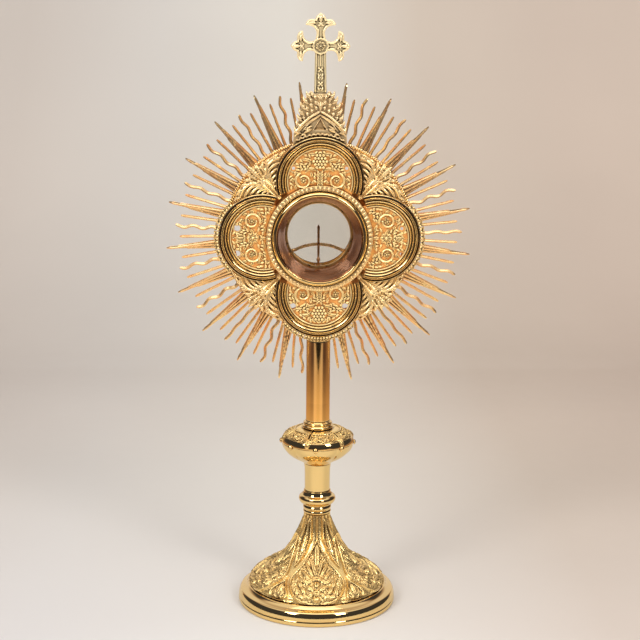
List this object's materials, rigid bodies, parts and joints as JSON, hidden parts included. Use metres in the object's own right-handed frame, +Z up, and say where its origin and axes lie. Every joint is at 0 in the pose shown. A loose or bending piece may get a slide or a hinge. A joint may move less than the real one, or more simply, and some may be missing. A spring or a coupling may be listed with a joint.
{
  "type": "monstrance",
  "caption": "Gilded standing monstrance: round chased foot, knopped stem, quatrefoil head with a sunburst and cross, and a glazed round case that draws out at the back",
  "frame": {"origin": "centre of the foot, on the surface that it stands on", "axes": "+Z up, -Y towards the congregation (the front of the head), +X to the right seen from the front"},
  "size_m": [0.309, 0.1644, 0.61],
  "materials": {
    "polished_gold": "gilded, mirror polished",
    "chased_gold": "gilded, cast and chased",
    "deep_gold": "gilded sheet in shadow behind the pierced panels",
    "plated_steel": "plain turned fasteners",
    "clear_glass": "clear, slightly grey"
  },
  "bodies": {
    "stand": {"foot_plinth": "polished_gold", "neck_collar": "polished_gold", "lower_stem": "polished_gold", "knop_lower_shell": "polished_gold", "knop_collar": "polished_gold", "upper_stem": "polished_gold", "head_socket": "polished_gold", "knop_stud_1": "polished_gold", "knop_stud_2": "polished_gold", "knop_stud_3": "polished_gold", "knop_stud_4": "polished_gold", "knop_stud_5": "polished_gold", "knop_stud_6": "polished_gold", "knop_stud_7": "polished_gold", "knop_stud_8": "polished_gold", "quatrefoil_frame": "polished_gold", "bezel": "polished_gold", "luna_housing": "polished_gold", "head_bracket": "polished_gold", "foot_dome": "chased_gold", "knop_upper_shell": "chased_gold", "bead_ring": "chased_gold", "cross_gable": "chased_gold", "filigree_right": "chased_gold", "filigree_top": "chased_gold", "filigree_left": "chased_gold", "filigree_bottom": "chased_gold", "corner_leaf_1": "chased_gold", "corner_leaf_2": "chased_gold", "corner_leaf_3": "chased_gold", "corner_leaf_4": "chased_gold", "sunburst_1": "chased_gold", "sunburst_2": "chased_gold", "sunburst_3": "chased_gold", "sunburst_4": "chased_gold", "cross": "chased_gold", "cross_rosette": "chased_gold", "back_plate": "deep_gold", "rod_washer": "plated_steel", "rod_nut": "plated_steel", "tie_rod": "plated_steel", "frame_screw_1": "plated_steel", "frame_screw_2": "plated_steel", "frame_screw_3": "plated_steel", "frame_screw_4": "plated_steel", "bracket_screw_1": "plated_steel", "bracket_screw_2": "plated_steel"},
    "luna": {"luna_ring": "polished_gold", "luna_glass": "clear_glass", "host_post": "polished_gold", "luna_hinge_pin": "plated_steel"},
    "luna_door": {"door_ring": "polished_gold", "door_glass": "clear_glass", "door_knob": "polished_gold"},
    "host_bow": {"host_bow": "polished_gold"}
  },
  "joints": [
    {"name": "luna_slide", "type": "slide", "parent": "stand", "child": "luna", "axis": [0, 1, 0], "range_m": [0, 0.06]},
    {"name": "luna_door_hinge", "type": "hinge", "parent": "luna", "child": "luna_door", "pos_m": [-0.042, 0.0364, 0.388], "axis": [0, 0, 1], "range_deg": [0, 105]},
    {"name": "host_bow_hinge", "type": "hinge", "parent": "luna", "child": "host_bow", "pos_m": [0, 0.0245, 0.37], "axis": [-1, 0, 0], "range_deg": [0, 80]}
  ]
}
